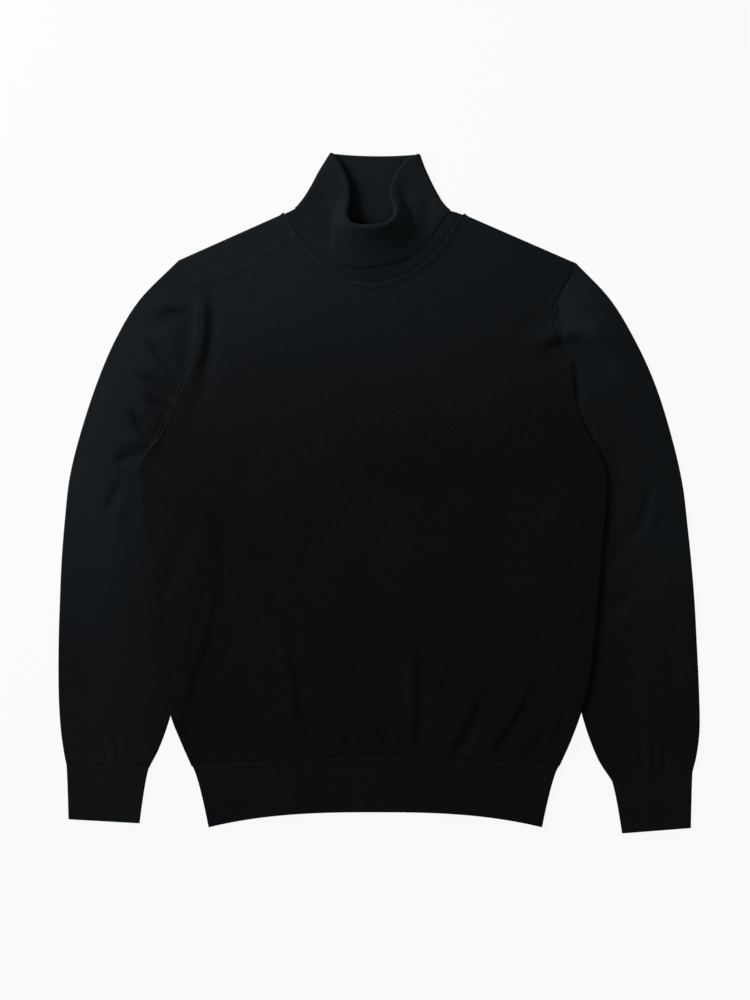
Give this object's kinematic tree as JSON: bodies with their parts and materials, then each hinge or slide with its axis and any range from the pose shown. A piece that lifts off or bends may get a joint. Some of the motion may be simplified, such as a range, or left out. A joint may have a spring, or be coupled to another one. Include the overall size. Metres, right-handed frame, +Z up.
{
  "type": "turtleneck sweater",
  "caption": "Long-sleeved turtleneck sweater of fine wool knit, laid flat on its back with both arms at its sides and its folded rib collar slumped open",
  "frame": {"origin": "centre of the outline seen from above, on the surface that the sweater lies on", "axes": "+Z up out of the front, +Y from the hem to the collar, +X towards the wearer's left sleeve"},
  "size_m": [0.7307, 0.7749, 0.0317],
  "materials": {
    "jersey": "near-black fine wool jersey, matt with a faint fuzz",
    "rib": "near-black fine wool rib, matt"
  },
  "bodies": {
    "root": {"back": "jersey", "front": "jersey", "sleeve_right": "jersey", "sleeve_left": "jersey", "cuff_right": "rib", "cuff_left": "rib", "hem_rib": "rib", "collar": "rib"}
  },
  "joints": []
}
